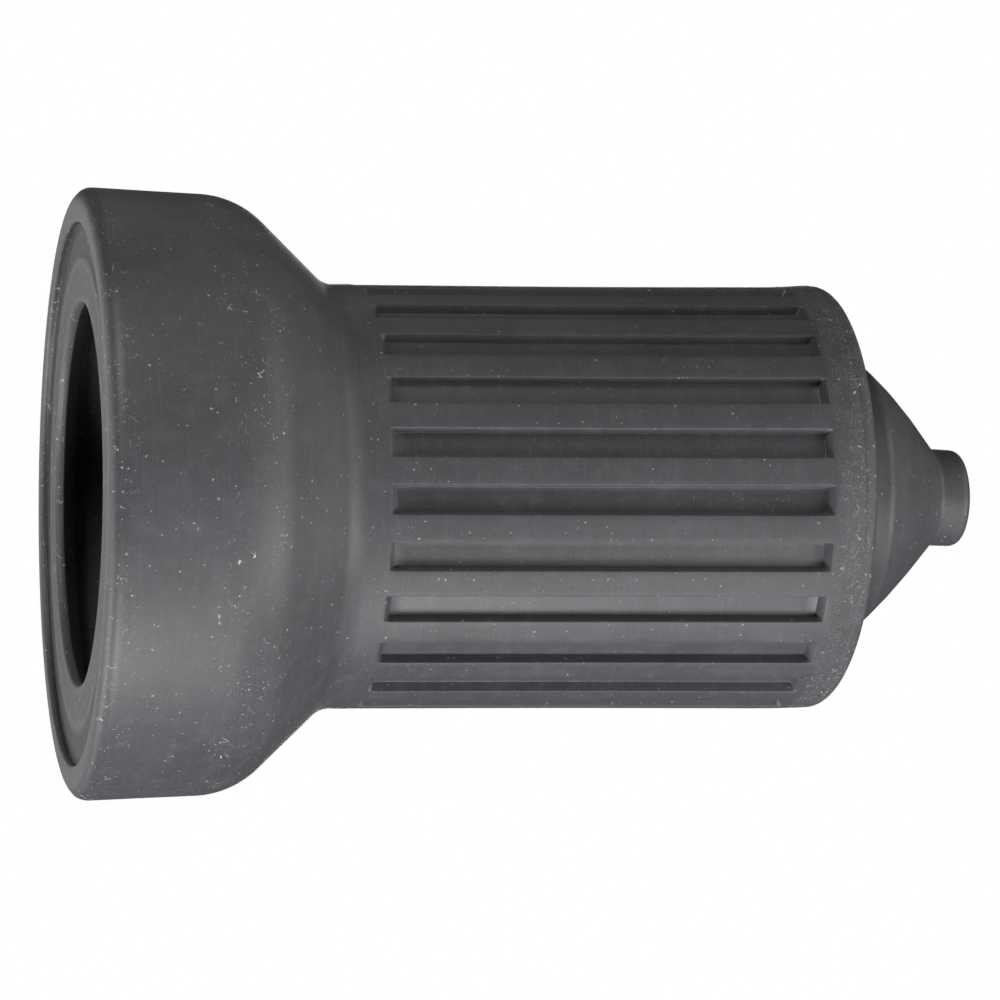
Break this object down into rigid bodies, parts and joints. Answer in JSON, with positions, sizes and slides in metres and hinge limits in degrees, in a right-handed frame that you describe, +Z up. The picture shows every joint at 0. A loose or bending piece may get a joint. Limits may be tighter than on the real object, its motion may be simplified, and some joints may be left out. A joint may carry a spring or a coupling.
{
  "type": "rubber connector boot",
  "caption": "One-piece moulded rubber boot that slips over a round cable connector, with a wide sealing mouth, a pocketed grip barrel and a tapered cable outlet.",
  "frame": {"origin": "centre of the mouth, in the plane of its rim, on which the boot stands", "axes": "+Z up along the boot's axis from the mouth to the cable outlet; a grip pocket is centred on +X and on +Y"},
  "size_m": [0.097, 0.097, 0.1475],
  "materials": {
    "rubber": "matte charcoal moulded rubber with a fine grain"
  },
  "bodies": {
    "root": {"rubber_boot": "rubber"}
  },
  "joints": []
}
